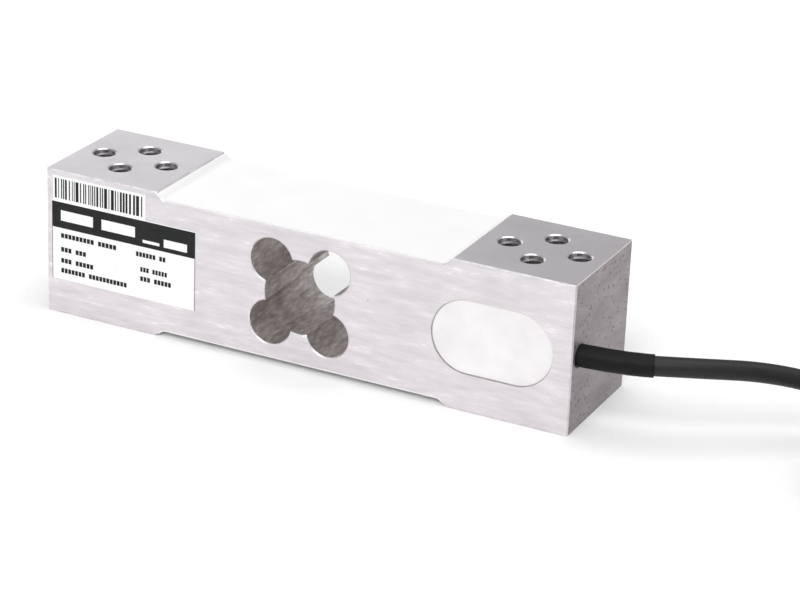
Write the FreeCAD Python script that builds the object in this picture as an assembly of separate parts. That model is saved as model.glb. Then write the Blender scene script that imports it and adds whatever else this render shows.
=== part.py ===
"""Single point load cell: a bending beam milled from one aluminium bar, with foil gauges under silicone,
a potted terminal pocket in its side, and a shielded cable that leaves through one end.

Millimetres. The origin is the middle of the beam's underside, +X runs along the beam to the fixed end,
where the cable leaves, +Y points to the back face and +Z is up. The load end is at -X.
"""

import FreeCAD, Part
import math
import os

V = FreeCAD.Vector
X, Y, Z = V(1, 0, 0), V(0, 1, 0), V(0, 0, 1)

# The beam.
LENGTH, WIDTH, HEIGHT = 150.0, 35.0, 40.0
PAD = 33.0  # each clamping pad, from the end of the beam to the edge of the relief
RELIEF = 2.0  # the relief between the pads, above and below
RAMP_FILLET = 2.0  # at the foot of the relief's 45 degree ramps
PAD_EDGE = 0.5  # rounding where a pad meets its ramp
EDGE = 0.3  # deburring chamfer round the two side faces and the cavity's rims
FRONT, BACK, MID = -WIDTH / 2, WIDTH / 2, HEIGHT / 2

# The cavity that makes the two thin beams above and below it.
BORE_D, LOBE_D = 20.0, 12.0
LOBE_X, LOBE_Z = 8.2, 8.45

# M6 holes, four in a rhombus on each pad, tapped from both faces: through, but for the one by the pocket,
# which is blind from each face and has its lower half drilled a hair wider.
TAP_D, SINK_D, SINK_ANGLE = 5.0, 6.7, 120.0
TAP_DEPTH, UNDER_EASE = 8.5, 0.01
HOLES_FROM_END = 16.25
HOLES_ALONG, HOLES_ACROSS = 19.0, 15.0

# The terminal pocket in the front face, its cable bore and its wire channels.
POCKET_FROM_END, POCKET_R, POCKET_HALF, POCKET_DEPTH = 21.5, 10.0, 6.5, 7.9
POCKET_X, POCKET_FLOOR = LENGTH / 2 - POCKET_FROM_END, FRONT + POCKET_DEPTH
FILL_BELOW = 0.15  # the potting ends this far below the face
SEAL_BELOW = 0.5  # and this far inside the cable bore's mouth
CABLE_DEPTH, CABLE_BORE_D = 4.6, 6.2
CABLE_Y = FRONT + CABLE_DEPTH
CHANNEL_D, CHANNEL_DEPTH = 2.4, 4.5
CHANNEL_Y = FRONT + CHANNEL_DEPTH
CHANNEL_MOUTH = V(LENGTH / 2 - PAD - 8, CHANNEL_Y, HEIGHT - RELIEF)
CHANNEL_FOOT = V(POCKET_X - 10, CHANNEL_Y, MID + POCKET_R - 1)

# Coating, gauges and their leads.
COAT, COAT_LIP = 0.4, 0.35  # thickness, and how far it stays below the pad's edge
CARRIER_L, CARRIER_W, CARRIER_T = 9.6, 5.6, 0.08
GRID_L, GRID_LINE, GRID_LOOPS, GRID_T = 5.0, 0.35, 3, 0.05
TAB_Y, TAB_W, TAB_L = 1.65, 1.2, 1.5  # solder tabs, from the middle of the grid
LEAD_D, PAIR_W = 0.16, 0.4
LANE = 0.9  # between the two gauges' lead pairs in the channel
LEAD_ABOVE = 0.75  # from the channel's axis to its lead pairs

# The board on the pocket's floor and what stands on it.
BOARD_L, BOARD_H, BOARD_T = 13.0, 14.0, 0.8
BOARD_X, BOARD_FACE = POCKET_X - 6, POCKET_FLOOR - BOARD_T
PAD_X, PAD_STEP = BOARD_X + 4.3, 2.6
WOUND_D, WOUND_L, WOUND_APART = 1.8, 3.2, 6.4
CHIP_W, CHIP_L, CHIP_T, CHIP_APART = 1.6, 3.2, 0.55, 5.2

# The cable: route of its free stretch by hand, then a hank of turns round two straight sides.
CABLE_D, SLEEVE_D = 5.0, 5.8
JACKET_START = POCKET_X + 9.5
ROUTE = [
    (JACKET_START, CABLE_Y, MID),
    (84.0, CABLE_Y, MID),
    (103.0, -5.4, MID + 0.3),
    (117.5, 4.9, 18.8),
    (132.5, 13.4, 14.6),
    (147.0, 16.2, 12.6),
]
SLEEVE_FROM, SLEEVE_PAST_BEND = LENGTH / 2 - 8, 0.8
CORD_SIDES = 12
BEND_SHARE = 0.45  # share of the shorter run that a bend takes
CORE_D, DRAIN_D, CORE_RING = 1.1, 0.9, 1.25
CORES = ["red", "black", "green", "white", "drain"]
TIE_X, TIE_W, TIE_T, TIE_HEAD = JACKET_START + 2, 2.4, 0.7, 3.6

# The hank that holds the rest of the cable, with its wire ties and the stripped far end.
HANK_X, HANK_Y, HANK_RUN = 156.0, -2.5, 75.0
FOLD_R, LAYERS = (14.0, 19.0), 3
HANK_IN, HANK_OUT, HANK_H = FOLD_R[0] - CABLE_D / 2, FOLD_R[1] + CABLE_D / 2, LAYERS * CABLE_D
TAIL_X, TAIL_ROOM = HANK_X + HANK_RUN / 2 - 0.5, 30.0
TAIL_BEND, TAIL_REST = 12.0, 21.0  # from the stripped end, along the tails
BAND_T, BAND_W = 0.6, 4.0

# The rating label on the load end's front face: a wide field with a narrower tab above it.
LABEL_FROM_END, LABEL_W, LABEL_H, LABEL_T = 1.7, 43.1, 21.9, 0.1
LABEL_Z = MID - 10.4
TAB_INSET, LABEL_TAB_W, LABEL_TAB_H = 0.3, 28.0, 7.0


def tube_between(a, b, radius):
    """A round rod from one point to another."""
    return Part.makeCylinder(radius, (b - a).Length, a, b - a)


def ring_at(place, heading, radius, sides):
    """A closed wire of equal sides round a place, square to a heading."""
    across = heading.cross(Z if abs(heading.z) < 0.9 else Y)
    across.normalize()
    other = heading.cross(across)
    other.normalize()
    ring = []
    for i in range(sides + 1):
        turn = 2 * math.pi * (i % sides + 0.5) / sides
        ring.append(place + (across * math.cos(turn) + other * math.sin(turn)) * radius)
    return Part.makePolygon(ring)


def rod(points, radius, sides=6):
    """A thin wire through the points, mitred at its corners, as a prism with few faces."""
    points = [V(*p) for p in points]
    path = Part.Wire([Part.LineSegment(a, b).toShape() for a, b in zip(points, points[1:])])
    return path.makePipeShell([ring_at(points[0], points[1] - points[0], radius, sides)], True, False, 1)


def box(low, high):
    """A box between two corners."""
    low, high = V(*low), V(*high)
    size = high - low
    return Part.makeBox(size.x, size.y, size.z, low)


def along_y(wire, low, high):
    """A closed wire in the XZ plane made solid between two values of Y."""
    wire = wire.copy()
    wire.translate(V(0, low, 0))
    return Part.Face(wire).extrude(V(0, high - low, 0))


def rounded(corners):
    """A closed wire in the XZ plane through (x, z, radius) corners, each rounded by its radius."""
    places = [V(x, 0, z) for x, z, _ in corners]
    edges, ends = [], []
    for i, (_, _, radius) in enumerate(corners):
        here = places[i]
        back, on = places[i - 1] - here, places[(i + 1) % len(places)] - here
        if radius == 0:
            ends.append((here, None, here))
            continue
        half = back.getAngle(on) / 2
        back.normalize()
        on.normalize()
        reach, middle = radius / math.tan(half), back + on
        middle.normalize()
        ends.append(
            (
                here + back * reach,
                here + middle * (radius / math.sin(half) - radius),
                here + on * reach,
            )
        )
    for i, (start, through, end) in enumerate(ends):
        if through is not None:
            edges.append(Part.Arc(start, through, end).toShape())
        edges.append(Part.LineSegment(end, ends[(i + 1) % len(ends)][0]).toShape())
    return Part.Wire(edges)


def stadium(x, z, half, radius, low, high):
    """An oval with two straight sides along X, solid between two values of Y."""
    ends = [Part.makeCylinder(radius, high - low, V(x + s * half, low, z), Y) for s in (-1, 1)]
    middle = box((x - half, low, z - radius), (x + half, high, z + radius))
    return ends[0].multiFuse([ends[1], middle]).removeSplitter()


def hole_places(end):
    """The four tapped holes of one end's pad, as (x, y)."""
    x = end * (LENGTH / 2 - HOLES_FROM_END)
    along, across = HOLES_ALONG / 2, HOLES_ACROSS / 2
    return [(x - along, 0), (x + along, 0), (x, -across), (x, across)]


def tapped_hole(x, y):
    """One tapped hole's drilled and countersunk space: right through, or from both faces by the pocket."""
    sink = (SINK_D - TAP_D) / 2 / math.tan(math.radians(SINK_ANGLE / 2))
    spaces = [Part.makeCone(SINK_D / 2, TAP_D / 2, sink, V(x, y, HEIGHT), -Z)]
    spaces.append(Part.makeCone(SINK_D / 2, TAP_D / 2, sink, V(x, y, 0), Z))
    if abs(x - POCKET_X) < POCKET_HALF + POCKET_R and y - TAP_D < POCKET_FLOOR:
        spaces.append(Part.makeCylinder(TAP_D / 2, TAP_DEPTH, V(x, y, HEIGHT), -Z))
        spaces.append(Part.makeCylinder(TAP_D / 2 + UNDER_EASE, TAP_DEPTH, V(x, y, 0), Z))
    else:
        spaces.append(Part.makeCylinder(TAP_D / 2, HEIGHT, V(x, y, 0), Z))
    return spaces[0].multiFuse(spaces[1:]).removeSplitter()


def mirrored(shape):
    """The same shape on the underside."""
    return shape.mirror(V(0, 0, MID), Z)


def flat(shape):
    """A mirrored shape as a plain solid with its faces the right way round."""
    solid = Part.makeSolid(shape.Shells[0])
    if solid.Volume < 0:
        solid.reverse()
    return solid


def beam_blank():
    """The milled bar with its reliefs and deburred side edges, before any hole."""
    half, inner = LENGTH / 2, LENGTH / 2 - PAD
    top = [
        (-half, HEIGHT, 0),
        (-inner, HEIGHT, PAD_EDGE),
        (-inner + RELIEF, HEIGHT - RELIEF, RAMP_FILLET),
        (inner - RELIEF, HEIGHT - RELIEF, RAMP_FILLET),
        (inner, HEIGHT, PAD_EDGE),
        (half, HEIGHT, 0),
    ]
    under = [(x, HEIGHT - z, radius) for x, z, radius in reversed(top)]
    bar = along_y(rounded(top + under), FRONT, BACK)
    sides = [e for e in bar.Edges if e.BoundBox.YLength < 1e-6]
    return bar.makeChamfer(EDGE, sides)


def cavity():
    """The clover-shaped space through the beam, with its deburred rims."""
    rounds = [(0, MID, BORE_D / 2)]
    rounds += [(sx * LOBE_X, MID + sz * LOBE_Z, LOBE_D / 2) for sx in (-1, 1) for sz in (-1, 1)]
    pieces = []
    for x, z, radius in rounds:
        pieces.append(Part.makeCylinder(radius, WIDTH + 2, V(x, FRONT - 1, z), Y))
        for side in (-1, 1):
            face = V(x, side * WIDTH / 2, z)
            pieces.append(Part.makeCone(radius + EDGE, radius, EDGE, face, Y * -side))
    return pieces[0].multiFuse(pieces[1:])


def channel(radius):
    """The slanted wire channel from the upper relief down into the pocket."""
    line = CHANNEL_FOOT - CHANNEL_MOUTH
    line.normalize()
    return tube_between(CHANNEL_MOUTH - line * 3, CHANNEL_FOOT + line, radius)


def beam(blank):
    """The whole one-piece beam."""
    spaces = [cavity(), stadium(POCKET_X, MID, POCKET_HALF, POCKET_R, FRONT - 1, POCKET_FLOOR)]
    spaces.append(tube_between(V(POCKET_X, CABLE_Y, MID), V(LENGTH, CABLE_Y, MID), CABLE_BORE_D / 2))
    spaces += [channel(CHANNEL_D / 2), mirrored(channel(CHANNEL_D / 2))]
    spaces += [tapped_hole(x, y) for end in (-1, 1) for x, y in hole_places(end)]
    return blank.cut(spaces)


def coating(blank, under):
    """The silicone over the upper relief and up both ramps, before it takes in what lies under it."""
    inner, floor = LENGTH / 2 - PAD, HEIGHT - RELIEF
    lip, level = COAT_LIP, floor + COAT
    line = [
        (-inner + lip, floor - 1, 0),
        (-inner + lip, HEIGHT - lip, 0),
        (-inner + lip + COAT, HEIGHT - lip - 0.05, 0.2),
        (-inner + RELIEF + COAT, level, 1.5),
        (inner - RELIEF - COAT, level, 1.5),
        (inner - lip - COAT, HEIGHT - lip - 0.05, 0.2),
        (inner - lip, HEIGHT - lip, 0),
        (inner - lip, floor - 1, 0),
    ]
    sheet = along_y(rounded(line), FRONT + EDGE, BACK - EDGE).cut(blank)
    return sheet.cut(under)


def gauge(x):
    """A foil gauge centred at x on the upper relief: its carrier and its folded grid."""
    floor = HEIGHT - RELIEF
    half_l, half_w = CARRIER_L / 2, CARRIER_W / 2
    carrier = box((x - half_l, -half_w, floor), (x + half_l, half_w, floor + CARRIER_T))
    low, high = floor + CARRIER_T, floor + CARRIER_T + GRID_T
    near, far = x - GRID_L / 2, x + GRID_L / 2
    step = 2 * GRID_LINE
    strands = 2 * GRID_LOOPS
    first = -step * (strands - 1) / 2
    pieces = []
    for i in range(strands):
        y = first + i * step
        pieces.append(box((near, y - GRID_LINE / 2, low), (far, y + GRID_LINE / 2, high)))
        if i + 1 < strands:
            end = near if i % 2 == 0 else far - GRID_LINE
            pieces.append(box((end, y, low), (end + GRID_LINE, y + step, high)))
    for y in (-TAB_Y, TAB_Y):
        pieces.append(box((far, y - TAB_W / 2, low), (far + TAB_L, y + TAB_W / 2, high)))
    return carrier, pieces[0].multiFuse(pieces[1:]).removeSplitter()


def ribbon(route, width, low, high):
    """A flat band along a route of (x, y) places on a level, mitred at its corners."""
    places = [V(x, y, low) for x, y in route]
    offs = []
    for i, here in enumerate(places):
        back = (here - places[i - 1]) if i else (places[1] - here)
        on = (places[i + 1] - here) if i + 1 < len(places) else (here - places[i - 1])
        back.normalize()
        on.normalize()
        across = Z.cross(back + on)
        across.normalize()
        offs.append(across * (width / 2 / across.dot(Z.cross(back))))
    outline = [p + o for p, o in zip(places, offs)] + [p - o for p, o in zip(places[::-1], offs[::-1])]
    return Part.Face(Part.makePolygon(outline + outline[:1])).extrude(V(0, 0, high - low))


def lead_pair(x, lane, landing_x):
    """A gauge's two enamelled leads, one from each tab, then bonded into a flat pair as far as the board."""
    floor = HEIGHT - RELIEF
    tab_top = floor + CARRIER_T + GRID_T
    down = CHANNEL_FOOT - CHANNEL_MOUTH
    slant = down.Length - 0.8
    down.normalize()
    joint_x, tab_x = x + CARRIER_L / 2 + 1.2, x + GRID_L / 2 + TAB_L / 2
    above = down.cross(Y) * LEAD_ABOVE  # on the channel's upper side, by its axis
    mouth = CHANNEL_MOUTH + Y * (lane * LANE / 2) + above + down * ((above.z - LEAD_D / 2) / -down.z)
    beside = -CARRIER_W / 2 - 0.8 - lane * 0.5
    route = [(joint_x, 0), (joint_x + 2, beside), (mouth.x - 5, mouth.y + 3), (mouth.x + 0.15, mouth.y)]
    yoke = [(tab_x, -TAB_Y), (joint_x, -TAB_Y), (joint_x, TAB_Y), (tab_x, TAB_Y)]
    landing = V(landing_x, BOARD_FACE, MID + BOARD_H / 2 - 1.2)
    over = landing - Y * (2 * LEAD_D)
    pieces = [
        ribbon(route, PAIR_W, floor, floor + LEAD_D),
        ribbon(yoke, LEAD_D, tab_top, tab_top + LEAD_D),
        ribbon([(joint_x - 0.2, 0), (joint_x + 0.2, 0)], PAIR_W, floor + LEAD_D, tab_top + LEAD_D),
        rod([mouth, mouth + down * slant, over, landing], PAIR_W / 2 - 0.03, 4),
    ]
    return pieces[0].multiFuse(pieces[1:]).removeSplitter()


def wound_resistor(x, z):
    """A wound compensation resistor standing along Z on the board, with its two formed leads."""
    y, reach = BOARD_FACE - WOUND_D / 2 - 0.1, WOUND_L / 2 + 0.9
    body = rod([(x, y, z - WOUND_L / 2), (x, y, z + WOUND_L / 2)], WOUND_D / 2, 8)
    lead = [(x, BOARD_FACE, z - reach), (x, y, z - reach), (x, y, z + reach), (x, BOARD_FACE, z + reach)]
    return body.fuse(rod(lead, 0.25, 4)).removeSplitter()


def chip(x, z):
    """A small flat trimming resistor on the board."""
    low = (x - CHIP_W / 2, BOARD_FACE - CHIP_T, z - CHIP_L / 2)
    return box(low, (x + CHIP_W / 2, BOARD_FACE, z + CHIP_L / 2))


def core_places(centre, toward):
    """Where the cores stand in the jacket's end: four round the drain wire, for a cable that runs along X."""
    places = []
    for i in range(4):
        turn = math.radians(45 + 90 * i)
        places.append(centre + V(0, toward * CORE_RING * math.cos(turn), CORE_RING * math.sin(turn)))
    return places + [centre]


def core_radius(i):
    """Half the thickness of one core; the last is the drain wire."""
    return (CORE_D if i < 4 else DRAIN_D) / 2


def core_in_pocket(start, i):
    """One core from the jacket's end to its place on the board."""
    order = [3, 4, 0, 1, 2]
    z = MID + (order[i] - 2) * PAD_STEP
    y = BOARD_FACE - CORE_D
    points = [start, start - X * 2.2, (PAD_X + 3.4, y, z), (PAD_X, y, z), (PAD_X, BOARD_FACE, z)]
    return rod(points, core_radius(i))


def bends(points):
    """The straight runs and tangent arcs through a route, each bend as large as its two runs allow."""
    points = [V(*p) for p in points]
    edges, radii, place = [], [], points[0]
    for before, here, after in zip(points, points[1:], points[2:]):
        back, on = before - here, after - here
        reach = BEND_SHARE * min(back.Length, on.Length)
        half = back.getAngle(on) / 2
        back.normalize()
        on.normalize()
        radius, middle = reach * math.tan(half), back + on
        middle.normalize()
        start, end = here + back * reach, here + on * reach
        through = here + middle * (radius / math.sin(half) - radius)
        edges.append(Part.LineSegment(place, start).toShape())
        edges.append(Part.Arc(start, through, end).toShape())
        radii.append(round(radius, 1))
        place = end
    edges.append(Part.LineSegment(place, points[-1]).toShape())
    return edges, radii


def swept(edges, radius):
    """A cord of CORD_SIDES faces, as thick across as a round one on average, along smooth edges."""
    start, heading = edges[0].valueAt(edges[0].FirstParameter), edges[0].tangentAt(edges[0].FirstParameter)
    corner = radius * math.sqrt(2 * math.pi / CORD_SIDES / math.sin(2 * math.pi / CORD_SIDES))
    return Part.Wire(edges).makePipeShell([ring_at(start, heading, corner, CORD_SIDES)], True, False)


def sleeve(edges):
    """The heat-shrink sleeve round the cable, from inside the bore to just past its first bend."""
    run, bend, on = edges[:3]
    into, start = V(SLEEVE_FROM, CABLE_Y, MID), run.valueAt(run.LastParameter)
    leave = on.valueAt(on.FirstParameter)
    past = leave + on.tangentAt(on.FirstParameter) * SLEEVE_PAST_BEND
    path = [Part.LineSegment(into, start).toShape(), bend, Part.LineSegment(leave, past).toShape()]
    return swept(path, SLEEVE_D / 2).cut(swept(path, CABLE_D / 2))


def racetrack(radius, height):
    """A flat solid with two straight sides along X and half-round ends, about the hank's middle line."""
    ends = [Part.makeCylinder(radius, height, V(x, HANK_Y, 0)) for x in (HANK_X, HANK_X + HANK_RUN)]
    middle = box((HANK_X, HANK_Y - radius, 0), (HANK_X + HANK_RUN, HANK_Y + radius, height))
    return ends[0].multiFuse([ends[1], middle]).removeSplitter()


def hank_tie(side):
    """A flat band tie round one long side of the hank, with its twisted end along the top."""
    x = HANK_X + HANK_RUN / 2
    low, high = sorted((HANK_Y + side * HANK_IN, HANK_Y + side * HANK_OUT))
    outer = box((x - BAND_W / 2, low - BAND_T, 0), (x + BAND_W / 2, high + BAND_T, HANK_H + BAND_T))
    inner = box((x - BAND_W, low, BAND_T), (x + BAND_W, high, HANK_H))
    twist = V(x, (low + high) / 2, HANK_H + BAND_T + 0.6)
    return outer.cut(inner).fuse(rod([twist, twist + X * 9], 0.7)).removeSplitter()


def hank(ties, tube):
    """The put-away length of cable as one closed ring, notched where its stripped end lies."""
    ring = racetrack(HANK_OUT, HANK_H).cut(racetrack(HANK_IN, HANK_H))
    low = HANK_Y - FOLD_R[0] - CABLE_D / 2
    notch = box((TAIL_X - TAIL_ROOM, low, -1), (TAIL_X, low + CABLE_D + 1, CABLE_D))
    return ring.cut([notch, tube] + ties)


def tail(start, i):
    """One stripped core at the cable's far end, lying on the surface inside the hank, with its tinned tip."""
    order, radius = [0, 4, 3, 1, 2], core_radius(i)
    y = HANK_Y - FOLD_R[0] + 0.3 + (order[i] - 1) * 1.9
    bend, rest = V(start.x - TAIL_BEND, y, radius), V(start.x - TAIL_REST, y + 0.4, radius)
    insulated = rod([start, start - X * 3, bend, rest], radius)
    return insulated.fuse(rod([rest + X * 0.1, rest - X * 6], radius * 0.55)).removeSplitter()


def label():
    """The rating label: a thin film with a wide field and a narrower tab on top."""
    left, low = -LENGTH / 2 + LABEL_FROM_END, LABEL_Z
    right, top = left + LABEL_W, low + LABEL_H
    tab = left + TAB_INSET
    corners = [
        (left, low, 0),
        (left, top, 0),
        (tab, top, 0),
        (tab, top + LABEL_TAB_H, 0),
        (tab + LABEL_TAB_W, top + LABEL_TAB_H, 0),
        (tab + LABEL_TAB_W, top, 0),
        (right, top, 0),
        (right, low, 0),
    ]
    return along_y(rounded(corners), FRONT - LABEL_T, FRONT)


def cable_tie(tube):
    """The tie round the jacket in the pocket, with its square head."""
    inner, outer, half = CABLE_D / 2, CABLE_D / 2 + TIE_T, TIE_HEAD / 2
    line = [(TIE_X + side * TIE_W / 2, CABLE_Y, MID) for side in (-1, 1)]
    band = rod(line, outer / math.cos(math.pi / 8), 8)
    low = (TIE_X - half, CABLE_Y - half, MID + inner - 0.1)
    return band.fuse(box(low, (TIE_X + half, CABLE_Y + half, MID + outer + 2.2))).cut(tube)


def potting(inside):
    """The white fill of the pocket, cable bore and wire channels, round all that lies in them."""
    fill = stadium(POCKET_X, MID, POCKET_HALF, POCKET_R, FRONT + FILL_BELOW, POCKET_FLOOR)
    seal = tube_between(V(POCKET_X, CABLE_Y, MID), V(LENGTH / 2 - SEAL_BELOW, CABLE_Y, MID), CABLE_BORE_D / 2)
    slot = channel(CHANNEL_D / 2)
    over = box((-LENGTH, -WIDTH, HEIGHT - RELIEF), (LENGTH, WIDTH, HEIGHT + 5))
    return fill.multiFuse([seal, slot, mirrored(slot)]).cut([over, mirrored(over)]).cut(inside)


def build():
    """Every node of the load cell, by name."""
    blank = beam_blank()
    nodes = {"beam": beam(blank), "rating_label": label()}

    edges, radii = bends(ROUTE)
    print("cord radii", radii)
    tube = swept(edges, CABLE_D / 2)
    run_length = sum(e.Length for e in edges)
    print("tube length", round(run_length, 2), "volume", tube.Volume, math.pi * CABLE_D**2 / 4 * run_length)
    ties = [hank_tie(side) for side in (-1, 1)]
    outside = {"cable_hank": hank(ties, tube), "hank_tie_front": ties[0], "hank_tie_back": ties[1]}
    inside = {"cable_jacket": tube, "bend_sleeve": sleeve(edges), "cable_tie": cable_tie(tube)}

    starts = core_places(V(JACKET_START, CABLE_Y, MID), 1)
    far = core_places(V(TAIL_X, HANK_Y - FOLD_R[0], CABLE_D / 2), -1)
    for i, colour in enumerate(CORES):
        inside[f"core_{colour}"] = core_in_pocket(starts[i], i)
        outside[f"tail_{colour}"] = tail(far[i], i)

    half_l, half_h = BOARD_L / 2, BOARD_H / 2
    low = (BOARD_X - half_l, BOARD_FACE, MID - half_h)
    inside["terminal_board"] = box(low, (BOARD_X + half_l, POCKET_FLOOR, MID + half_h))
    wound_x, chip_x = BOARD_X - 4.1, BOARD_X - 0.3
    inside["span_resistor_upper"] = wound_resistor(wound_x, MID + WOUND_APART / 2)
    inside["span_resistor_lower"] = wound_resistor(wound_x, MID - WOUND_APART / 2)
    inside["zero_trim_resistor"] = chip(chip_x, MID + CHIP_APART / 2)
    inside["zero_drift_resistor"] = chip(chip_x, MID - CHIP_APART / 2)

    gauges = [(LOBE_X, "fixed", 1, BOARD_X - 1.9), (-LOBE_X, "load", -1, BOARD_X + 1.5)]
    for level, name in ((1, "top"), (-1, "bottom")):
        under = []
        for x, where, lane, landing_x in gauges:
            carrier, grid = gauge(x)
            leads = lead_pair(x, lane, landing_x)
            under += [carrier, grid, leads]
            for key, shape in (("carrier", carrier), ("grid", grid), ("leads", leads)):
                inside[f"gauge_{key}_{name}_{where}"] = shape if level > 0 else flat(mirrored(shape))
        coat = coating(blank, under)
        nodes[f"coating_{name}"] = coat if level > 0 else flat(mirrored(coat))

    nodes["potting"] = potting(list(inside.values()))
    return {**nodes, **inside, **outside}


if __name__ == "__main__":
    os.makedirs("parts", exist_ok=True)
    for name, shape in build().items():
        print(name, shape.ShapeType, len(shape.Solids), shape.isValid(), round(shape.Volume, 3))
        shape.exportStep(f"parts/{name}.step")
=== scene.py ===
"""Finishes for a single point load cell: machined aluminium beam with M6 threads, silicone coatings,
potted pocket, rating label, cable with its hank, and a plain studio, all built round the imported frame."""

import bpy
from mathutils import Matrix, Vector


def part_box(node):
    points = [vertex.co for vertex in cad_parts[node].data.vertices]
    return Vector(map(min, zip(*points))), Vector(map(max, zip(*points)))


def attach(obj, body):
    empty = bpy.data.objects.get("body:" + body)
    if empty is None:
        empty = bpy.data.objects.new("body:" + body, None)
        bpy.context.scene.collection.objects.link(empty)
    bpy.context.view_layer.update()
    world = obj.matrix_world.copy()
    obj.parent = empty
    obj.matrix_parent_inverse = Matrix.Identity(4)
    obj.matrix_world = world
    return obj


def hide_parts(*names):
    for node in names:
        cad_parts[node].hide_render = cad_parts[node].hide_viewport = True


bl_info = {
    "name": "Single Point Load Cell Finish",
    "version": (1, 0, 0),
    "blender": (4, 5, 0),
    "location": "View3D > Sidebar > Load Cell",
    "description": "Builds the visible surfaces, label, cable and studio of a single point load cell",
    "category": "Object",
}

import math
import random

import bmesh
import bpy
from mathutils import Matrix, Vector, noise

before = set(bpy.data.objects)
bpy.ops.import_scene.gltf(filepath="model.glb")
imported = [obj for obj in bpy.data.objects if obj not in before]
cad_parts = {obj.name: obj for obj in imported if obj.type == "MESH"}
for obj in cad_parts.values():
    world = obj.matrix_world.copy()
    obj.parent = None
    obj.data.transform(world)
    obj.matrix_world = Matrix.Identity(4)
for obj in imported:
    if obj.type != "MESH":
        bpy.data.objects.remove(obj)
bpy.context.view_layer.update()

MM = 0.001
BEAM_LOW, BEAM_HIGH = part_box("beam")
MID_Z = (BEAM_LOW.z + BEAM_HIGH.z) / 2


# ---------------------------------------------------------------- helpers


def mm(*values):
    """A place or size given in millimetres."""
    return Vector(values) * MM


def colour(code):
    """An sRGB hex value, or a colour setting, as the linear RGBA that shaders take."""
    if not isinstance(code, str):
        return tuple(code)
    parts = [int(code[i : i + 2], 16) / 255 for i in (0, 2, 4)]
    return (*[p / 12.92 if p <= 0.04045 else ((p + 0.055) / 1.055) ** 2.4 for p in parts], 1.0)


def add(tree, kind, inputs=None, stops=(), **settings):
    """Add one node with its settings. Each input is a value, or a socket to link from, and stops are the
    (position, colour) stops of a colour ramp."""
    made = tree.nodes.new(kind)
    for key, value in settings.items():
        setattr(made, key, value)
    for key, value in (inputs or {}).items():
        if isinstance(value, bpy.types.NodeSocket):
            tree.links.new(value, made.inputs[key])
        else:
            made.inputs[key].default_value = value
    if stops:
        band = made.color_ramp.elements
        while len(band) < len(stops):
            band.new(0.5)
        for element, (position, value) in zip(band, stops):
            element.position = position
            element.color = value
    return made


def grey(value):
    """A plain value as an opaque grey, for a ramp that gives numbers."""
    return (value, value, value, 1.0)


def new_material(name):
    """An empty material with its output and shader, and the Object coordinates that patterns read."""
    made = bpy.data.materials.new(name)
    made.use_nodes = True
    tree = made.node_tree
    tree.nodes.clear()
    shader = add(tree, "ShaderNodeBsdfPrincipled")
    add(tree, "ShaderNodeOutputMaterial", {"Surface": shader.outputs["BSDF"]})
    place = add(tree, "ShaderNodeTexCoord").outputs["Object"]
    return made, tree, shader, place


def finish_piece(name, bm, materials, replaces=(), smooth_angle=35, flat=()):
    """Turn a bmesh into a finished piece: linked, shaded, riding on the frame. Faces square to an axis, in
    the material slots that flat names, stay flat right up to their edges."""
    mesh = bpy.data.meshes.new(name)
    bm.to_mesh(mesh)
    bm.free()
    mesh.set_sharp_from_angle(angle=math.radians(smooth_angle))
    for polygon in mesh.polygons:
        square = max(abs(part) for part in polygon.normal) > 0.9999
        polygon.use_smooth = not (square and polygon.material_index in flat)
    piece = bpy.data.objects.new(name, mesh)
    bpy.context.scene.collection.objects.link(piece)
    for material in materials:
        mesh.materials.append(material)
    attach(piece, "root")
    if replaces:
        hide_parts(*replaces)
    return piece


def node_copy(name):
    """A CAD node as a joined bmesh, with the triangles of each flat face merged into one."""
    bm = bmesh.new()
    bm.from_mesh(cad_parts[name].data)
    bmesh.ops.remove_doubles(bm, verts=bm.verts, dist=1e-6)
    bmesh.ops.dissolve_limit(bm, angle_limit=math.radians(0.5), verts=bm.verts, edges=bm.edges)
    return bm


def dress(name, material):
    """Give a CAD node a finished material in its own slots."""
    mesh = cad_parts[name].data
    mesh.materials.clear()
    mesh.materials.append(material)


# ---------------------------------------------------------------- settings


def colour_setting(name, description, code):
    """A colour property of a settings group, from its sRGB hex value."""
    return bpy.props.FloatVectorProperty(
        name=name, description=description, default=colour(code), subtype="COLOR", size=4, min=0, max=1
    )


class LoadCellStudio(bpy.types.PropertyGroup):
    """Camera, floor and lights"""

    lens: bpy.props.FloatProperty(
        name="Lens", description="Focal length of the camera", default=131.64, min=10, unit="CAMERA"
    )
    floor_size: bpy.props.FloatProperty(
        name="Floor Size", description="Side of the square floor", default=8.0, unit="LENGTH"
    )
    floor_colour: colour_setting("Floor Colour", "Paper under the cell", "FAFAFA")
    top_light: bpy.props.FloatProperty(
        name="Top Light", description="Irradiance of the lamp overhead", default=0.95, min=0
    )
    key_light: bpy.props.FloatProperty(
        name="Key Light", description="Irradiance of the lamp in front", default=1.3, min=0
    )
    rim_power: bpy.props.FloatProperty(
        name="Rim Light",
        description="Power of the softbox behind the load end",
        default=0.3,
        min=0,
        unit="POWER",
    )
    room_light: bpy.props.FloatProperty(
        name="Room Light", description="Strength of the even room light", default=0.55, min=0
    )


class LoadCellFinish(bpy.types.PropertyGroup):
    """Colours and small sizes of the metal, coatings and potting"""

    silicone: colour_setting("Silicone", "Coating over the reliefs", "ECEBEB")
    potting: colour_setting("Potting", "Fill of the pocket", "E7E4E5")
    thread_pitch: bpy.props.FloatProperty(
        name="Thread Pitch",
        description="Pitch of the M6 thread",
        default=1.0 * MM,
        unit="LENGTH",
        precision=5,
    )


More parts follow.
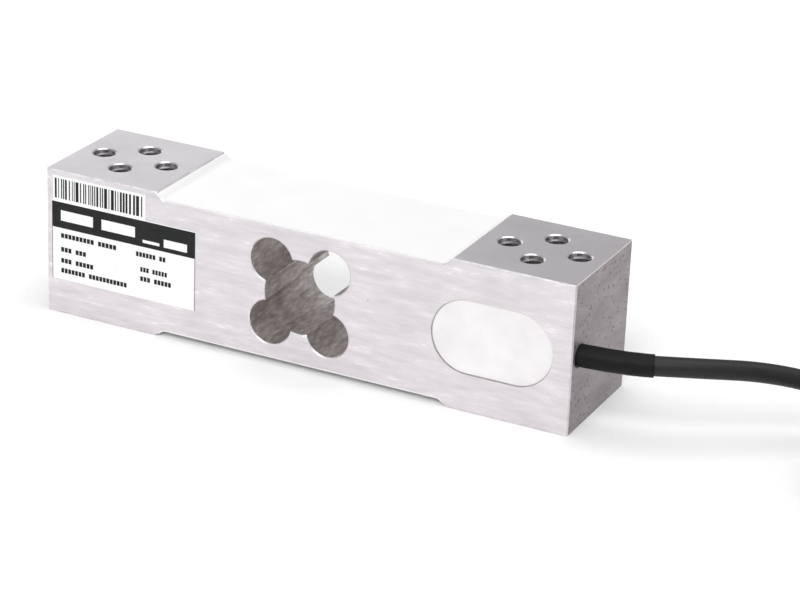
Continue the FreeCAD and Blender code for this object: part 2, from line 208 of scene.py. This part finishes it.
class LoadCellCable(bpy.types.PropertyGroup):
    """Cable, sleeve and hank"""

    diameter: bpy.props.FloatProperty(
        name="Cable Diameter",
        description="Outside of the jacket",
        default=5.0 * MM,
        unit="LENGTH",
        precision=5,
    )
    sleeve: bpy.props.FloatProperty(
        name="Sleeve Diameter",
        description="Outside of the shrunk sleeve",
        default=5.8 * MM,
        unit="LENGTH",
        precision=5,
    )
    jacket_colour: colour_setting("Jacket", "PVC of the jacket", "161618")


class LoadCellLabel(bpy.types.PropertyGroup):
    """Rating label"""

    film: colour_setting("Film", "Film of the label", "F1F1F1")
    ink: colour_setting("Ink", "Print on the film", "181A19")
    letter_gap: bpy.props.FloatProperty(
        name="Mark Gap",
        description="Gap between the print's small marks",
        default=0.2 * MM,
        unit="LENGTH",
        precision=5,
    )


# ---------------------------------------------------------------- materials


def aluminium(name, tones, rough, flow, streak, scratches=0.0, pits=None, metallic=0.85):
    """Bare aluminium cut from bar. tones are its dark, middle and pale hex values and rough its least and
    most roughness. flow is the size of its cloudy patches along X, Y and Z in mm, and streak that of its tool
    marks. scratches is how pale they are, and pits their spacing and radius in mm and the share of the face
    that has them."""
    made, tree, shader, place = new_material(name)
    dark, middle, pale = (colour(code) for code in tones)
    spread = add(tree, "ShaderNodeMapping", {"Vector": place, "Scale": [1000 / size for size in flow]})
    clouds = add(
        tree,
        "ShaderNodeTexNoise",
        {"Vector": spread.outputs[0], "Scale": 1.0, "Detail": 4.0, "Roughness": 0.6},
    )
    shades = add(
        tree,
        "ShaderNodeValToRGB",
        {"Fac": clouds.outputs["Fac"]},
        stops=[(0.32, dark), (0.5, middle), (0.68, pale)],
    )
    tone = shades.outputs["Color"]
    fine = add(tree, "ShaderNodeMapping", {"Vector": place, "Scale": [1000 / size for size in streak]})
    marks = add(
        tree, "ShaderNodeTexNoise", {"Vector": fine.outputs[0], "Scale": 1.0, "Detail": 3.0, "Roughness": 0.6}
    )
    if scratches:
        # short pale scratches: about 3 mm long and 0.35 mm wide, as coarse as they need to show
        thin = add(
            tree,
            "ShaderNodeMapping",
            {"Vector": place, "Scale": (330, 2800, 2800), "Rotation": (0, 0.05, 0)},
        )
        cuts = add(tree, "ShaderNodeTexNoise", {"Vector": thin.outputs[0], "Scale": 1.0, "Detail": 1.0})
        both = {0: cuts.outputs["Fac"], 1: clouds.outputs["Fac"]}
        gate = add(tree, "ShaderNodeMath", both, operation="MULTIPLY")
        bright = add(
            tree,
            "ShaderNodeValToRGB",
            {"Fac": gate.outputs[0]},
            stops=[(0.36, grey(0)), (0.42, grey(scratches))],
        )
        lit = {"Factor": bright.outputs["Color"], "A": tone, "B": colour("F7F4F7")}
        tone = add(tree, "ShaderNodeMix", lit, data_type="RGBA").outputs["Result"]
    if pits:
        # dark pits where a chip tore out, ragged and in loose groups
        apart, radius, share = pits
        ragged = add(tree, "ShaderNodeTexNoise", {"Vector": place, "Scale": 1000 / 0.25, "Detail": 1.0})
        moved = add(
            tree,
            "ShaderNodeVectorMath",
            {0: ragged.outputs["Color"], 1: (0.0004, 0.0004, 0.0004), 2: place},
            operation="MULTIPLY_ADD",
        )
        cells = add(tree, "ShaderNodeTexVoronoi", {"Vector": moved.outputs[0], "Scale": 1000 / apart})
        edge = radius / apart
        torn = add(
            tree,
            "ShaderNodeValToRGB",
            {"Fac": cells.outputs["Distance"]},
            stops=[(edge * 0.7, grey(1)), (edge * 1.3, grey(0))],
        )
        groups = add(tree, "ShaderNodeTexNoise", {"Vector": place, "Scale": 90.0, "Detail": 2.0})
        few = add(
            tree,
            "ShaderNodeValToRGB",
            {"Fac": groups.outputs["Fac"]},
            stops=[(0.72 - share, grey(0)), (0.78 - share, grey(1))],
        )
        both = {0: torn.outputs["Color"], 1: few.outputs["Color"]}
        pit = add(tree, "ShaderNodeMath", both, operation="MULTIPLY")
        torn_out = {"Factor": pit.outputs[0], "A": tone, "B": colour("6A6466")}
        tone = add(tree, "ShaderNodeMix", torn_out, data_type="RGBA").outputs["Result"]
    tree.links.new(tone, shader.inputs["Base Color"])
    shader.inputs["Metallic"].default_value = metallic
    gloss = add(
        tree,
        "ShaderNodeValToRGB",
        {"Fac": marks.outputs["Fac"]},
        stops=[(0.3, grey(rough[0])), (0.7, grey(rough[1]))],
    )
    tree.links.new(gloss.outputs["Color"], shader.inputs["Roughness"])
    bump = add(tree, "ShaderNodeBump", {"Height": marks.outputs["Fac"], "Strength": 0.2, "Distance": 0.00004})
    tree.links.new(bump.outputs["Normal"], shader.inputs["Normal"])
    return made


def beam_finishes():
    """The beam's finishes, in the order of its material slots."""
    return [
        # rolled bar, lightly skimmed: faint long streaks, pale handling scratches and a few pits
        aluminium(
            "rolled_aluminium",
            ("D9D4D8", "E1DCE0", "E9E4E8"),
            (0.42, 0.58),
            (9, 4, 1.8),
            (12, 0.5, 0.5),
            0.8,
            (5, 0.16, 0.18),
        ),
        # fly-cut clamping pads: even and satin, the finest marks across the bar
        aluminium(
            "flycut_aluminium",
            ("C2BEC2", "C7C3C7", "CBC8CB"),
            (0.36, 0.44),
            (18, 14, 10),
            (0.4, 8, 4),
        ),
        # sawn ends: duller, torn by the blade, with clusters of dark pits; their darker base tones are
        # painted shade for ends the lamps leave unlit
        aluminium(
            "sawn_aluminium_painted_shade",
            ("989192", "A19A9C", "A9A3A5"),
            (0.5, 0.64),
            (6, 9, 4),
            (1, 5, 0.45),
            0.0,
            (1.6, 0.32, 0.3),
        ),
        # drilled and reamed cavity: brown-grey and mottled, marks running along the bores
        aluminium(
            "reamed_aluminium",
            ("A69E9B", "C2BBB9", "DCD8D7"),
            (0.48, 0.66),
            (1.1, 4, 1.1),
            (0.5, 14, 0.5),
            0.0,
            (2.5, 0.2, 0.22),
        ),
        # broken edges: freshly filed and bright, a little uneven
        aluminium(
            "filed_edge",
            ("CFCBCF", "E6E3E6", "F8F6F8"),
            (0.3, 0.45),
            (2, 1, 1),
            (1, 1, 1),
            metallic=0.5,
        ),
        # countersinks: turned, so glossier than the faces round them
        aluminium(
            "turned_aluminium",
            ("B4B0B4", "CCC8CC", "E0DDE0"),
            (0.16, 0.26),
            (2, 2, 2),
            (0.8, 0.8, 0.3),
        ),
    ]


def cut_thread():
    """Tapped thread in the same aluminium, in darker tones than the faces round it."""
    made, tree, shader, place = new_material("cut_thread")
    specks = add(tree, "ShaderNodeTexNoise", {"Vector": place, "Scale": 900.0, "Detail": 2.0})
    tone = add(
        tree,
        "ShaderNodeValToRGB",
        {"Fac": specks.outputs["Fac"]},
        stops=[(0.3, colour("6C676A")), (0.7, colour("989396"))],
    )
    tree.links.new(tone.outputs["Color"], shader.inputs["Base Color"])
    shader.inputs["Metallic"].default_value = 0.9
    shader.inputs["Roughness"].default_value = 0.35
    return made


def cured_silicone(name, low, high, ripple):
    """White silicone, brushed or poured and cured: satin, with a soft uneven skin. ripple is the size of its
    unevenness in mm."""
    made, tree, shader, place = new_material(name)
    soft = add(tree, "ShaderNodeTexNoise", {"Vector": place, "Scale": 1000 / ripple, "Detail": 2.0})
    tone = add(
        tree,
        "ShaderNodeValToRGB",
        {"Fac": soft.outputs["Fac"]},
        stops=[(0.3, colour(low)), (0.7, colour(high))],
    )
    tree.links.new(tone.outputs["Color"], shader.inputs["Base Color"])
    shader.inputs["Roughness"].default_value = 0.45
    shader.inputs["IOR"].default_value = 1.41
    bump = add(tree, "ShaderNodeBump", {"Height": soft.outputs["Fac"], "Strength": 0.3, "Distance": 0.0003})
    tree.links.new(bump.outputs["Normal"], shader.inputs["Normal"])
    return made


def plain_plastic(name, low, high, roughness, grain=400.0, shine=0.5, metallic=0.0, bump_strength=0.15):
    """A small moulded, dipped or extruded part: two close tones in a fine grain."""
    made, tree, shader, place = new_material(name)
    specks = add(tree, "ShaderNodeTexNoise", {"Vector": place, "Scale": grain, "Detail": 3.0})
    tone = add(
        tree,
        "ShaderNodeValToRGB",
        {"Fac": specks.outputs["Fac"]},
        stops=[(0.3, colour(low)), (0.7, colour(high))],
    )
    tree.links.new(tone.outputs["Color"], shader.inputs["Base Color"])
    shader.inputs["Roughness"].default_value = roughness
    shader.inputs["Metallic"].default_value = metallic
    shader.inputs["Specular IOR Level"].default_value = shine
    relief = {"Height": specks.outputs["Fac"], "Strength": bump_strength, "Distance": 0.00004}
    bump = add(tree, "ShaderNodeBump", relief)
    tree.links.new(bump.outputs["Normal"], shader.inputs["Normal"])
    return made


# ---------------------------------------------------------------- stage


CAMERA_AT = mm(316.81, -616.20, 310.20)
CAMERA_AZIMUTH, CAMERA_ELEVATION = 25.7325, 23.1614  # degrees, to the right of the front and above it
CAMERA_ROLL = 0.0406  # radians


class LOADCELL_OT_stage(bpy.types.Operator):
    """Camera, pale floor and soft studio lights"""

    bl_idname = "load_cell.stage"
    bl_label = "Stage"

    def execute(self, context):
        scene, studio = context.scene, context.scene.load_cell_studio
        data = bpy.data.cameras.new("camera")
        data.lens, data.sensor_width, data.clip_start = studio.lens, 36.0, 0.01
        camera = bpy.data.objects.new("camera", data)
        scene.collection.objects.link(camera)
        azimuth, elevation = math.radians(CAMERA_AZIMUTH), math.radians(CAMERA_ELEVATION)
        level = Vector((-math.sin(azimuth), math.cos(azimuth), 0)) * math.cos(elevation)
        ahead = level - Vector((0, 0, math.sin(elevation)))
        right = ahead.cross(Vector((0, 0, 1))).normalized()
        up = right.cross(ahead)
        turned_right = right * math.cos(CAMERA_ROLL) + up * math.sin(CAMERA_ROLL)
        turned_up = up * math.cos(CAMERA_ROLL) - right * math.sin(CAMERA_ROLL)
        turn = Matrix((turned_right, turned_up, -ahead)).transposed()
        camera.matrix_world = Matrix.Translation(CAMERA_AT) @ turn.to_4x4()
        scene.camera = camera

        bm = bmesh.new()
        bmesh.ops.create_grid(bm, x_segments=8, y_segments=8, size=studio.floor_size / 2)
        bmesh.ops.translate(bm, verts=bm.verts, vec=(0, 0, -0.00002))
        mesh = bpy.data.meshes.new("floor")
        bm.to_mesh(mesh)
        bm.free()
        floor = bpy.data.objects.new("floor", mesh)
        scene.collection.objects.link(floor)
        made, tree, shader, place = new_material("studio_paper")
        fibres = add(tree, "ShaderNodeTexNoise", {"Vector": place, "Scale": 300.0, "Detail": 2.0})
        tone = add(
            tree,
            "ShaderNodeValToRGB",
            {"Fac": fibres.outputs["Fac"]},
            stops=[(0.3, colour(studio.floor_colour)), (0.7, colour("F8F8F8"))],
        )
        tree.links.new(tone.outputs["Color"], shader.inputs["Base Color"])
        shader.inputs["Roughness"].default_value = 0.9
        shader.inputs["Specular IOR Level"].default_value = 0.1
        mesh.materials.append(made)

        world = bpy.data.worlds.new("studio_room")
        scene.world = world
        world.use_nodes = True
        background = world.node_tree.nodes["Background"]
        background.inputs["Color"].default_value = (1, 1, 1, 1)
        background.inputs["Strength"].default_value = studio.room_light
        for name, kind, place_at, strength, spread in (
            ("top", "SUN", (0.10, 0.12, 1.0), studio.top_light, math.radians(45)),
            ("key", "SUN", (0.05, -0.80, 0.85), studio.key_light, math.radians(30)),
            ("rim", "AREA", (-0.42, 0.50, 0.27), studio.rim_power, 0.35),
        ):
            lamp = bpy.data.lights.new(name, kind)
            lamp.energy = strength
            if kind == "SUN":
                lamp.angle = spread
            else:
                lamp.size = spread
            light = bpy.data.objects.new(name, lamp)
            scene.collection.objects.link(light)
            look = Vector((0, 0, 0.04)) - Vector(place_at)
            aim = look.to_track_quat("-Z", "Y").to_matrix().to_4x4()
            light.matrix_world = Matrix.Translation(place_at) @ aim
        scene.view_settings.view_transform = "Standard"
        scene.view_settings.look = "None"
        scene.view_settings.exposure = 0.0
        return {"FINISHED"}


# ---------------------------------------------------------------- cable

# the free stretch, from inside the pocket to the hank, in metres
ROUTE = [
    (0.063, -0.0129, 0.020),
    (0.084, -0.0129, 0.020),
    (0.103, -0.0054, 0.0203),
    (0.1175, 0.0049, 0.0188),
    (0.1325, 0.0134, 0.0146),
    (0.147, 0.0162, 0.0126),
]
# the hank's straight runs stand between these two places, round this line
HANK_LEFT, HANK_RIGHT, HANK_Y, LAYER = 0.156, 0.231, -0.0025, 0.005
INNER, OUTER = 0.014, 0.019
TAIL_X = 0.193


def fold(points, x, y, radius, start, heights):
    """One fold of the hank, clockwise from above: six control points on a half circle, with their heights."""
    reach = radius / math.cos(math.radians(15))
    for step, height in enumerate(heights):
        turn = math.radians(start - 15 - 30 * step)
        points.append((x + reach * math.cos(turn), y + reach * math.sin(turn), height))


def hank_points():
    """Control points of the six turns: outer and inner on top, then inner and outer, then outer and inner."""
    points = []
    top, middle, low = [LAYER * (n + 0.5) for n in (2, 1, 0)]
    between = (INNER + OUTER) / 2
    ease = (1.0, 0.98, 0.68, 0.32, 0.02, 0.0)
    turns = [
        # layer and run radius, then the left fold: its radius, shift along y, shift along x, and next layer
        (top, OUTER, between, -0.0025, 0.0, top),
        (top, INNER, INNER, 0.0, 0.006, middle),
        (middle, INNER, between, 0.0025, 0.003, middle),
        (middle, OUTER, OUTER, 0.0, 0.0, low),
        (low, OUTER, between, -0.0025, 0.003, low),
        (low, INNER, None, 0.0, 0.0, low),
    ]
    for height, radius, back, aside, inward, below in turns:
        points.append(((HANK_LEFT + HANK_RIGHT) / 2, HANK_Y + radius, height))
        fold(points, HANK_RIGHT, HANK_Y, radius, 90, [height] * 6)
        if back is None:
            points.append((TAIL_X + 0.012, HANK_Y - radius, height))
            points.append((TAIL_X, HANK_Y - radius, height))
            break
        points.append(((HANK_LEFT + HANK_RIGHT) / 2, HANK_Y - radius, height))
        heights = [below + (height - below) * share for share in ease]
        fold(points, HANK_LEFT + inward, HANK_Y + aside, back, 270, heights)
    return points


def nurbs(name, points, radius):
    """A round cord on one smooth spline through its control points."""
    data = bpy.data.curves.new(name, "CURVE")
    data.dimensions = "3D"
    data.resolution_u = 8
    data.bevel_depth, data.bevel_resolution = radius, 6
    data.use_fill_caps = True
    spline = data.splines.new("NURBS")
    spline.points.add(len(points) - 1)
    for point, place in zip(spline.points, points):
        point.co = (*place, 1.0)
    spline.order_u = 3
    spline.use_endpoint_u = True
    piece = bpy.data.objects.new(name, data)
    bpy.context.scene.collection.objects.link(piece)
    return piece


def as_bmesh(piece):
    """A curve's finished shape as a bmesh, with the curve object removed."""
    bpy.context.view_layer.update()
    shown = piece.evaluated_get(bpy.context.evaluated_depsgraph_get())
    mesh = bpy.data.meshes.new_from_object(shown)
    bm = bmesh.new()
    bm.from_mesh(mesh)
    bmesh.ops.remove_doubles(bm, verts=bm.verts, dist=1e-7)
    bmesh.ops.recalc_face_normals(bm, faces=bm.faces)
    data = piece.data
    bpy.data.objects.remove(piece)
    bpy.data.curves.remove(data)
    bpy.data.meshes.remove(mesh)
    return bm


def extruded_pvc(name, code):
    """Extruded PVC jacket: satin black with a faint haze of handling along it."""
    made, tree, shader, place = new_material(name)
    haze = add(tree, "ShaderNodeTexNoise", {"Vector": place, "Scale": 260.0, "Detail": 4.0, "Roughness": 0.6})
    tone = add(
        tree,
        "ShaderNodeValToRGB",
        {"Fac": haze.outputs["Fac"]},
        stops=[(0.3, colour("0F0F10")), (0.7, colour(code))],
    )
    tree.links.new(tone.outputs["Color"], shader.inputs["Base Color"])
    rough = add(
        tree,
        "ShaderNodeValToRGB",
        {"Fac": haze.outputs["Fac"]},
        stops=[(0.3, grey(0.42)), (0.7, grey(0.55))],
    )
    tree.links.new(rough.outputs["Color"], shader.inputs["Roughness"])
    shader.inputs["Specular IOR Level"].default_value = 0.4
    bump = add(tree, "ShaderNodeBump", {"Height": haze.outputs["Fac"], "Strength": 0.15, "Distance": 0.00005})
    tree.links.new(bump.outputs["Normal"], shader.inputs["Normal"])
    return made


class LOADCELL_OT_cable(bpy.types.Operator):
    """Black cable from the pocket to its hank, with sleeve, ties and stripped end"""

    bl_idname = "load_cell.cable"
    bl_label = "Cable"

    def execute(self, context):
        settings = context.scene.load_cell_cable
        points = ROUTE + hank_points()
        cable = nurbs("cable", points, settings.diameter / 2)
        cable.data.materials.append(extruded_pvc("extruded_pvc", settings.jacket_colour))
        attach(cable, "root")
        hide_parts("cable_jacket", "cable_hank")

        cover = nurbs("cover", ROUTE, settings.sleeve / 2)
        cover.data.resolution_u = 24
        cover.data.bevel_resolution = 10
        cover.data.bevel_factor_mapping_start = cover.data.bevel_factor_mapping_end = "SPLINE"
        run = cover.data.splines[0].calc_length()
        cover.data.bevel_factor_start = 0.004 / run
        cover.data.bevel_factor_end = 0.0305 / run
        bm = as_bmesh(cover)
        for vert in bm.verts:
            wave = noise.noise(vert.co * 420)
            vert.co += vert.normal * (0.05 * wave * MM)
        # shrunk polyolefin: matt, a little blacker than the jacket
        shrunk = plain_plastic("heat_shrink", "08080A", "0F0F11", 0.55, grain=500.0, shine=0.2)
        sleeve = finish_piece("sleeve", bm, [shrunk], ["bend_sleeve"], 60)

        for side, old in ((-1, "hank_tie_front"), (1, "hank_tie_back")):
            dress(old, plain_plastic("tie_" + old[10:], "1E1E1F", "2A2A2B", 0.5))
        for name, low, high in (
            ("red", "A81414", "B82020"),
            ("black", "19191A", "242425"),
            ("green", "14602A", "1E7034"),
            ("white", "DADAD6", "E6E6E2"),
            ("drain", "B4AFA8", "C8C4BC"),
        ):
            wire = plain_plastic("insulation_" + name, low, high, 0.35)
            dress("core_" + name, wire)
            dress("tail_" + name, wire)
        return {"FINISHED"}


# ---------------------------------------------------------------- beam

# the middle of each pad's four holes, from the middle of the beam, and how far they stand from it
PAD_MIDDLE, ALONG, ACROSS = 0.05875, 0.0095, 0.0075
HOLES = [
    (end * PAD_MIDDLE + along * ALONG, across * ACROSS)
    for end in (-1, 1)
    for along, across in ((-1, 0), (1, 0), (0, -1), (0, 1))
]


class LOADCELL_OT_beam(bpy.types.Operator):
    """Milled beam, its tapped holes opened to the thread's outer diameter, with the thread turns in them"""

    bl_idname = "load_cell.beam"
    bl_label = "Beam"

    def execute(self, context):
        pitch = context.scene.load_cell_finish.thread_pitch
        bm = node_copy("beam")
        half = BEAM_HIGH.z - MID_Z
        level = [
            edge
            for edge in bm.edges
            if all(
                abs(abs(vert.co.x) - BEAM_HIGH.x) < 1e-5 and abs(abs(vert.co.z - MID_Z) - half) < 1e-5
                for vert in edge.verts
            )
        ]
        bmesh.ops.bevel(
            bm,
            geom=level,
            offset=0.2 * MM,
            offset_type="OFFSET",
            segments=1,
            profile=0.5,
            affect="EDGES",
            material=-1,
        )
        bm.normal_update()
        for face in bm.faces:
            if abs(face.normal.z) > 0.999 and abs(abs(face.calc_center_median().z - MID_Z) - half) < 0.1 * MM:
                # the pads stay level at their corners, where two broken edges meet
                for vert in face.verts:
                    vert.co.z = MID_Z + math.copysign(half, vert.co.z - MID_Z)
        for vert in bm.verts:
            for x, y in HOLES:
                away = Vector((vert.co.x - x, vert.co.y - y))
                if 2.4 * MM < away.length < 2.6 * MM:
                    away *= 2.97 * MM / away.length
                    vert.co.x, vert.co.y = x + away.x, y + away.y
        bm.normal_update()
        for face in bm.faces:
            centre, normal = face.calc_center_median(), face.normal
            bore = min((Vector((centre.x - x, centre.y - y)).length for x, y in HOLES))
            high = abs(centre.z - MID_Z)
            if abs(centre.x) < 16 * MM and high < 16 * MM and abs(normal.y) < 0.5:
                face.material_index = 3
            elif abs(normal.y) > 0.97 or abs(centre.x) < 42 * MM and abs(normal.z) > 0.6 and high > 17 * MM:
                face.material_index = 0
            elif 0.6 < abs(normal.y) < 0.8 or 0.6 < abs(normal.x) < 0.8 and abs(centre.x) > 74.5 * MM:
                face.material_index = 4
            elif bore < 3.4 * MM and abs(normal.z) < 0.98:
                face.material_index = 5
            elif abs(normal.z) > 0.97:
                face.material_index = 1
            elif abs(normal.x) > 0.97 and abs(centre.x) > 74 * MM:
                # the sawn ends, whose darker tones are painted shade
                face.material_index = 2
        finish_piece("beam_body", bm, beam_finishes(), ["beam"], 25, (0, 1, 2))

        bm = bmesh.new()
        for x, y in HOLES:
            for top in (True, False):
                start = BEAM_HIGH.z - 0.75 * MM if top else BEAM_LOW.z + 0.75 * MM
                way = -1 if top else 1
                profile = [(3.02, -0.46), (3.02, 0.46), (2.5, 0.07), (2.5, -0.07)]
                corners = [(x + r * MM, y, start + way * (h + 0.5) * MM) for r, h in profile]
                verts = [bmesh.ops.create_vert(bm, co=corner)["vert"][0] for corner in corners]
                face = bmesh.ops.contextual_create(bm, geom=verts)["faces"][0]
                turns, steps = 7, 28
                bmesh.ops.spin(
                    bm,
                    geom=[face, *face.edges, *face.verts],
                    cent=(x, y, 0),
                    axis=(0, 0, -way),
                    dvec=(0, 0, way * pitch / steps),
                    angle=2 * math.pi * turns,
                    steps=steps * turns,
                    use_merge=False,
                    use_duplicate=False,
                )
        bmesh.ops.recalc_face_normals(bm, faces=bm.faces)
        finish_piece("tapped_threads", bm, [cut_thread()], (), 20)
        return {"FINISHED"}


# ---------------------------------------------------------------- coatings and potting


class LOADCELL_OT_coatings(bpy.types.Operator):
    """White silicone brushed over the reliefs, thinned where it flowed to its long edges"""

    bl_idname = "load_cell.coatings"
    bl_label = "Coatings"

    def execute(self, context):
        made = cured_silicone("brushed_silicone", context.scene.load_cell_finish.silicone, "EFEEEE", 9.0)
        for node, out in (("coating_top", 1), ("coating_bottom", -1)):
            bm = node_copy(node)
            bm.normal_update()
            skin = [face for face in bm.faces if face.normal.z * out > 0.3]
            rim = {v for e in bm.edges if sum(f in skin for f in e.link_faces) == 1 for v in e.verts}
            bmesh.ops.inset_region(bm, faces=skin, thickness=0.3 * MM, depth=0.0, use_even_offset=True)
            sides = [vert for vert in rim if abs(vert.co.y) > 17.1 * MM]
            bmesh.ops.translate(bm, verts=sides, vec=(0, 0, -0.16 * MM * out))
            finish_piece(node.replace("coating", "silicone"), bm, [made], [node], 40)
        return {"FINISHED"}


class LOADCELL_OT_potting(bpy.types.Operator):
    """White potting of the pocket: a fine groove where it shrank from the wall, then a shallow meniscus"""

    bl_idname = "load_cell.potting"
    bl_label = "Potting"

    def execute(self, context):
        bm = node_copy("potting")
        bm.normal_update()
        front = max((face for face in bm.faces if face.normal.y < -0.99), key=lambda face: face.calc_area())
        outline = list(front.verts)
        groove = bmesh.ops.inset_region(bm, faces=[front], thickness=0.22 * MM, use_even_offset=True)["faces"]
        # the groove's faces go to the second slot, grey as painted shade
        for face in groove:
            face.material_index = 1
        bmesh.ops.translate(bm, verts=outline, vec=(0, 0.35 * MM, 0))
        for thickness, depth in ((0.5 * MM, 0.03 * MM), (0.9 * MM, -0.05 * MM), (1.6 * MM, -0.07 * MM)):
            bmesh.ops.inset_region(bm, faces=[front], thickness=thickness, depth=depth, use_even_offset=True)
        made = cured_silicone("cast_potting", context.scene.load_cell_finish.potting, "F1EEEF", 7.0)
        # the groove's faces take a mid grey: painted shade along the crease where the potting meets the wall
        groove_shade = cured_silicone("groove_painted_shade", "8E8A8B", "A5A1A2", 2.0)
        finish_piece("potting_fill", bm, [made, groove_shade], ["potting"], 40)
        return {"FINISHED"}


# ---------------------------------------------------------------- label


class LOADCELL_OT_label(bpy.types.Operator):
    """Rating label with its band, bars and rows of small marks"""

    bl_idname = "load_cell.label"
    bl_label = "Label"

    def execute(self, context):
        settings = context.scene.load_cell_label
        film = plain_plastic("label_film", settings.film, "F8F8F8", 0.4, bump_strength=0.03)
        ink = plain_plastic("label_ink", settings.ink, "212322", 0.42, shine=0.2, bump_strength=0.03)
        bm = node_copy("rating_label")
        low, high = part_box("rating_label")
        layer = low.y - 0.012 * MM

        def mark(left, bottom, right, top, material=1, depth=0.0):
            """One printed field, as a thin face just in front of the film."""
            place = Matrix.Translation((0, layer - depth * MM, 0)) @ Matrix.Translation(
                mm((left + right) / 2, 0, (bottom + top) / 2)
            )
            size = Matrix.Diagonal(((right - left) * MM, (top - bottom) * MM, 1, 1))
            turn = Matrix.Rotation(math.radians(90), 4, "X")
            made = bmesh.ops.create_grid(bm, x_segments=1, y_segments=1, size=0.5, matrix=place @ turn @ size)
            for face in {face for vert in made["verts"] for face in vert.link_faces}:
                face.material_index = material

        mark(-73.3, 24.1, -30.2, 31.3)
        mark(-73.3, 9.6, -73.15, 24.1)
        mark(-30.35, 9.6, -30.2, 24.1)
        dice = random.Random(5)
        x = -72.4
        while x < -46.2:
            wide = dice.choice((0.25, 0.35, 0.6, 0.9))
            mark(x, 32.3, min(x + wide, -45.8), 37.8)
            x += wide + dice.choice((0.25, 0.3, 0.45, 0.6))
        rows = [
            # left, right, bottom, height, words as counts of marks, colour
            (-70.6, -60.6, 26.2, 2.9, (1,), 0),
            (-58.2, -47.9, 26.2, 2.9, (1,), 0),
            (-45.8, -40.6, 25.3, 0.8, (1,), 0),
            (-39.5, -32.4, 25.3, 2.2, (1,), 0),
            (-70.6, -53.6, 21.4, 1.3, (9, 5), 1),
            (-70.6, -62.8, 17.5, 1.3, (3, 3), 1),
            (-70.6, -60.6, 14.4, 1.3, (3, 5), 1),
            (-70.6, -50.4, 11.6, 1.3, (7, 11), 1),
            (-47.8, -38.8, 21.2, 1.3, (6, 2), 1),
            (-46.5, -38.3, 17.1, 1.3, (3, 5), 1),
            (-46.5, -37.1, 14.5, 1.3, (3, 5), 1),
        ]
        gap = settings.letter_gap / MM
        for left, right, bottom, tall, words, material in rows:
            cells = sum(words) + (len(words) - 1)
            step = (right - left) / cells
            at = left
            for count in words:
                for n in range(count):
                    mark(at, bottom, at + step - min(gap, step * 0.3), bottom + tall, material, 0.006)
                    at += step
                at += step
        finish_piece("label", bm, [film, ink], ["rating_label"], 30)
        return {"FINISHED"}


# ---------------------------------------------------------------- hidden parts


class LOADCELL_OT_inner(bpy.types.Operator):
    """Finishes of the gauges, leads, board, resistors and tie inside the coatings and potting"""

    bl_idname = "load_cell.inner"
    bl_label = "Inner Parts"

    def execute(self, context):
        # amber film, dull grey foil, copper under clear enamel, green laminate, red varnish, dark glazed
        # ceramic and off-white nylon
        carrier = plain_plastic("polyimide_carrier", "B8702A", "C9803A", 0.3)
        foil = plain_plastic("constantan_foil", "9B9488", "B0A99C", 0.35, metallic=0.9)
        copper = plain_plastic("enamelled_copper", "A8552C", "B96438", 0.3, metallic=0.6)
        board = plain_plastic("board_laminate", "1A5A32", "22683C", 0.45)
        varnish = plain_plastic("resistor_varnish", "8C2A1C", "9E3626", 0.35)
        ceramic = plain_plastic("chip_ceramic", "202022", "2C2C2E", 0.3)
        nylon = plain_plastic("natural_nylon", "DEDCD0", "E8E6DA", 0.4)
        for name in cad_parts:
            if name.startswith("gauge_carrier"):
                dress(name, carrier)
            elif name.startswith("gauge_grid"):
                dress(name, foil)
            elif name.startswith("gauge_leads"):
                dress(name, copper)
            elif name.startswith("span_resistor"):
                dress(name, varnish)
            elif name.startswith("zero_"):
                dress(name, ceramic)
        dress("terminal_board", board)
        dress("cable_tie", nylon)
        return {"FINISHED"}


# ---------------------------------------------------------------- panel and run

OPERATORS = [
    LOADCELL_OT_stage,
    LOADCELL_OT_cable,
    LOADCELL_OT_beam,
    LOADCELL_OT_coatings,
    LOADCELL_OT_potting,
    LOADCELL_OT_label,
    LOADCELL_OT_inner,
]


GROUPS = [
    ("load_cell_studio", LoadCellStudio),
    ("load_cell_finish", LoadCellFinish),
    ("load_cell_cable", LoadCellCable),
    ("load_cell_label", LoadCellLabel),
]


class LOADCELL_PT_panel(bpy.types.Panel):
    """Lists the load cell's operators and settings"""

    bl_idname = "LOADCELL_PT_panel"
    bl_label = "Load Cell"
    bl_space_type = "VIEW_3D"
    bl_region_type = "UI"
    bl_category = "Load Cell"

    def draw(self, context):
        for operator in OPERATORS:
            self.layout.operator(operator.bl_idname)
        scene = context.scene
        for name, _ in GROUPS:
            group = getattr(scene, name)
            box = self.layout.box()
            for key in group.bl_rna.properties.keys():
                if key not in ("rna_type", "name"):
                    box.prop(group, key)


def register():
    for name, group in GROUPS:
        bpy.utils.register_class(group)
        setattr(bpy.types.Scene, name, bpy.props.PointerProperty(type=group))
    for operator in OPERATORS:
        bpy.utils.register_class(operator)
    bpy.utils.register_class(LOADCELL_PT_panel)


def unregister():
    bpy.utils.unregister_class(LOADCELL_PT_panel)
    for operator in reversed(OPERATORS):
        bpy.utils.unregister_class(operator)
    for name, group in reversed(GROUPS):
        delattr(bpy.types.Scene, name)
        bpy.utils.unregister_class(group)


def main():
    """Build the whole load cell round the frame."""
    register()
    bpy.ops.load_cell.stage()
    bpy.ops.load_cell.cable()
    bpy.ops.load_cell.beam()
    bpy.ops.load_cell.coatings()
    bpy.ops.load_cell.potting()
    bpy.ops.load_cell.label()
    bpy.ops.load_cell.inner()


if __name__ == "__main__":
    main()
